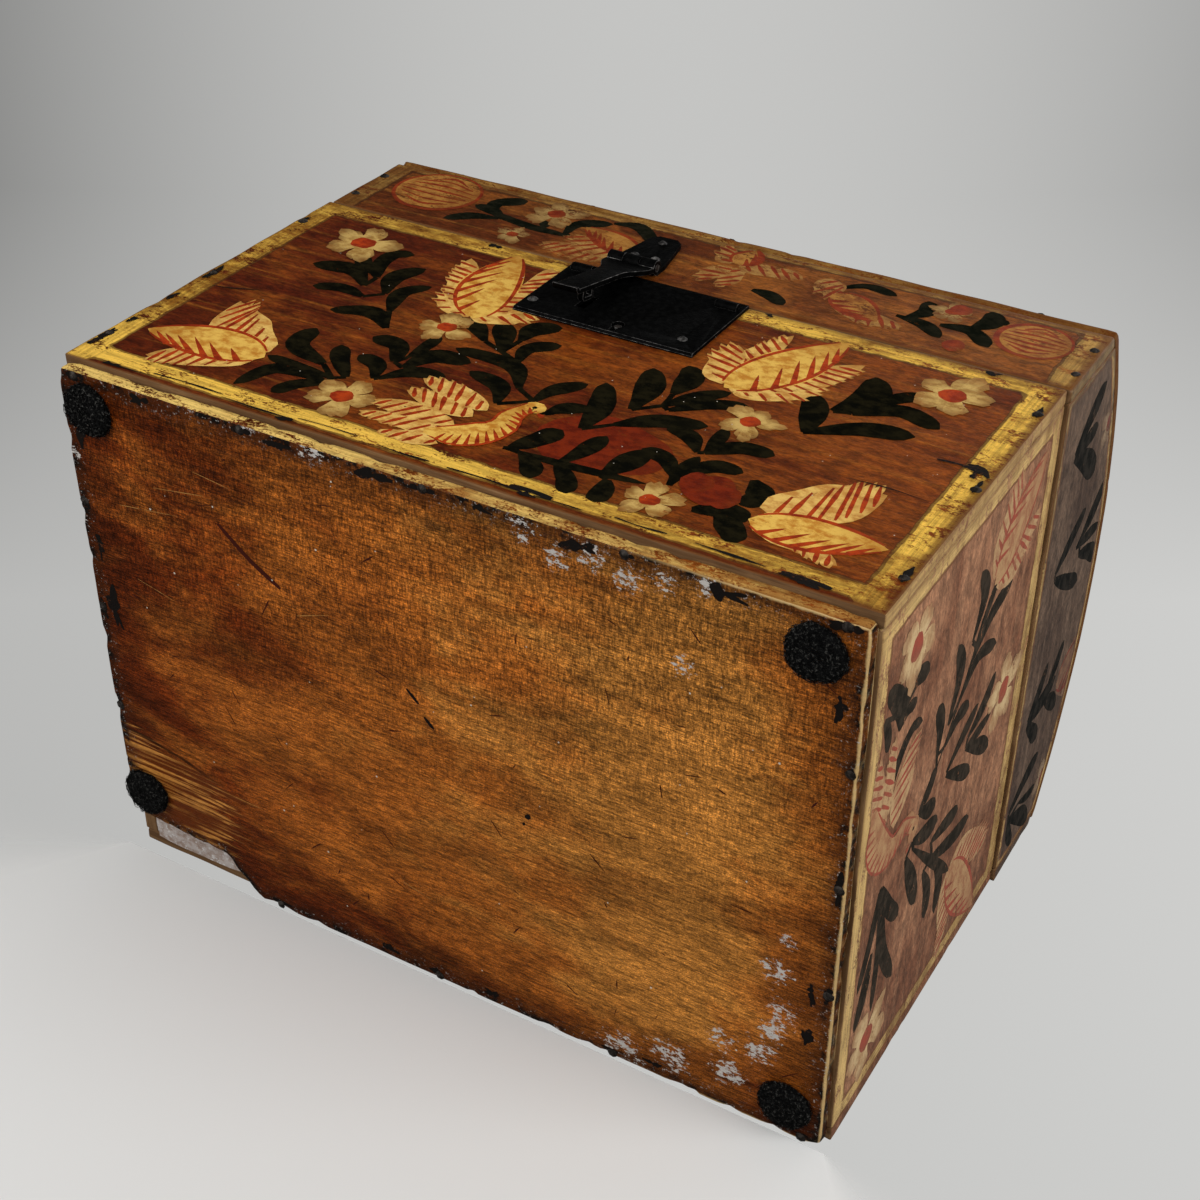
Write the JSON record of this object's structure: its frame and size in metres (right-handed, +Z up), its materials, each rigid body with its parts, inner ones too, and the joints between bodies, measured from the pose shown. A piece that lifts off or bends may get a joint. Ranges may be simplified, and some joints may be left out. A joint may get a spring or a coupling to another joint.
{
  "type": "wedding chest",
  "caption": "Antique wedding chest of thin nailed boards painted with folk flowers, with a low domed hinged lid, an iron hasp lock and felt pads underneath.",
  "frame": {"origin": "on the plane under the felt pads, midway between the body's two ends and between its front and back faces", "axes": "+X to the right seen from the front, along the chest's width; +Y from the front to the back; +Z up"},
  "size_m": [0.3215, 0.2523, 0.2467],
  "materials": {
    "painted_wood": "worn oil paint under old varnish",
    "varnished_wood": "old amber varnish, scratched",
    "plaster": "chalky off-white plaster",
    "felt": "black felt",
    "black_iron": "black lacquered wrought iron",
    "bare_iron": "dull dark iron"
  },
  "bodies": {
    "chest": {"bottom_board": "varnished_wood", "front_board": "painted_wood", "back_board": "painted_wood", "left_end_board": "painted_wood", "right_end_board": "painted_wood", "corner_patch": "plaster", "felt_pad_front_left": "felt", "felt_pad_front_right": "felt", "felt_pad_back_left": "felt", "felt_pad_back_right": "felt", "bottom_nails": "bare_iron", "corner_nails": "bare_iron", "hinge_left_body_leaf": "black_iron", "hinge_right_body_leaf": "black_iron", "hinge_left_pin": "bare_iron", "hinge_right_pin": "bare_iron", "hinge_body_nails": "bare_iron", "lock_plate": "black_iron", "lock_plate_hooks": "black_iron", "lock_plate_rivets": "bare_iron", "lock_case": "bare_iron", "lock_key_post": "bare_iron", "lock_bolt_guides": "bare_iron", "lock_spring": "bare_iron"},
    "lid": {"lid_front_rail": "painted_wood", "lid_back_rail": "painted_wood", "lid_left_end": "painted_wood", "lid_right_end": "painted_wood", "lid_top_board": "painted_wood", "lid_corner_nails": "bare_iron", "lid_top_nails": "bare_iron", "hinge_left_lid_leaf": "black_iron", "hinge_right_lid_leaf": "black_iron", "hinge_lid_nails": "bare_iron", "hasp_upper_leaf": "black_iron", "hasp_pin": "bare_iron", "hasp_nails": "bare_iron"},
    "hasp": {"hasp_lower_leaf": "black_iron", "hasp_staple": "black_iron"},
    "bolt": {"lock_bolt": "bare_iron"}
  },
  "joints": [
    {"name": "lid_swing", "type": "hinge", "parent": "chest", "child": "lid", "pos_m": [0, 0.1188, 0.1673], "axis": [-1, 0, 0], "range_deg": [0, 110]},
    {"name": "hasp_swing", "type": "hinge", "parent": "lid", "child": "hasp", "pos_m": [-0.018, -0.1193, 0.1735], "axis": [-1, 0, 0], "range_deg": [-11.5, 150]},
    {"name": "bolt_slide", "type": "slide", "parent": "chest", "child": "bolt", "axis": [-1, 0, 0], "range_m": [0, 0.009]}
  ]
}
